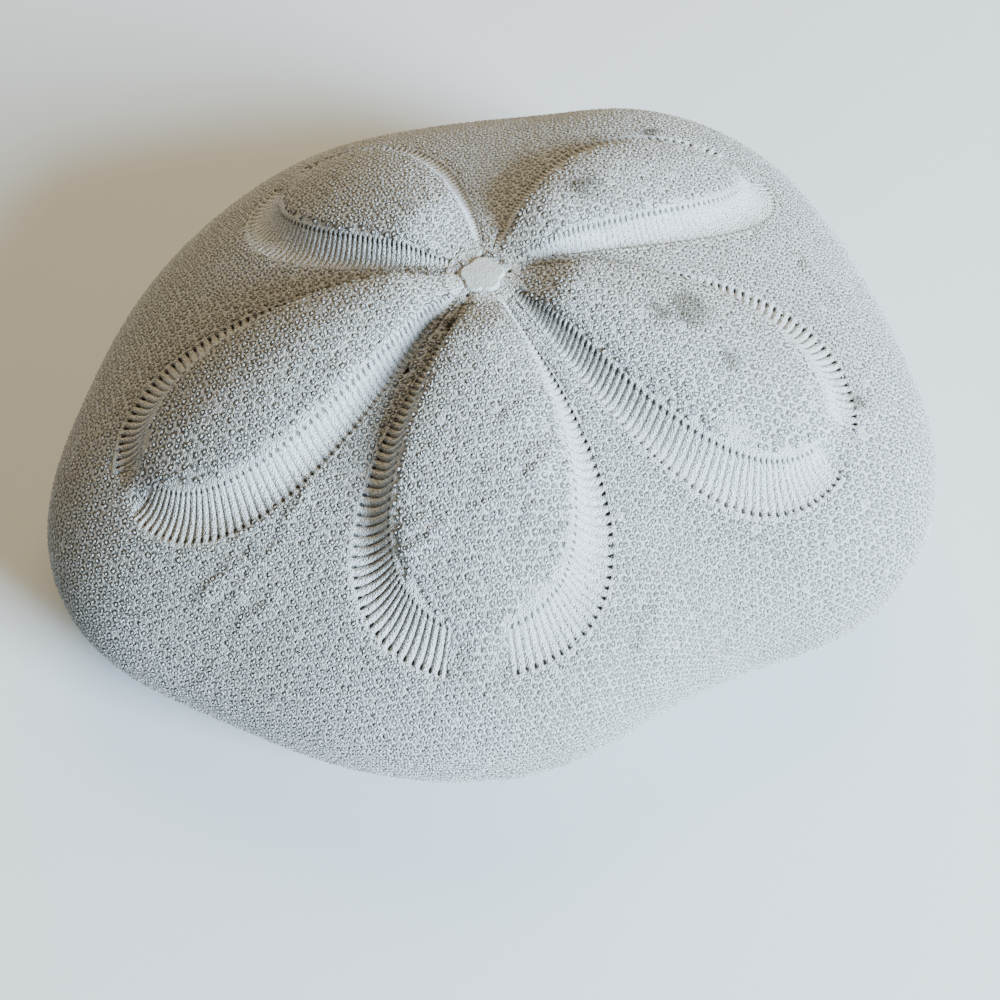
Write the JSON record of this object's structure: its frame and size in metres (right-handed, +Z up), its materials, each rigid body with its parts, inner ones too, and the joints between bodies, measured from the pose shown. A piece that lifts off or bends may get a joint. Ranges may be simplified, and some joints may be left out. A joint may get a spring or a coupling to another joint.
{
  "type": "sea biscuit",
  "caption": "Bleached sea biscuit: a domed sea urchin shell with swollen petals, sunken pore bands, a thick round margin and a hollowed mouth side. Decorative natural shell.",
  "frame": {"origin": "centre of the bounding box in plan, on the plane that the flat seat ring rests on", "axes": "+Z up through the petal side, +X along the longest extent of the shell, -Y towards the petal that faces the viewer in the picture"},
  "size_m": [0.1238, 0.1084, 0.0521],
  "materials": {
    "shell": "matte"
  },
  "bodies": {
    "root": {"shell": "shell"}
  },
  "joints": []
}
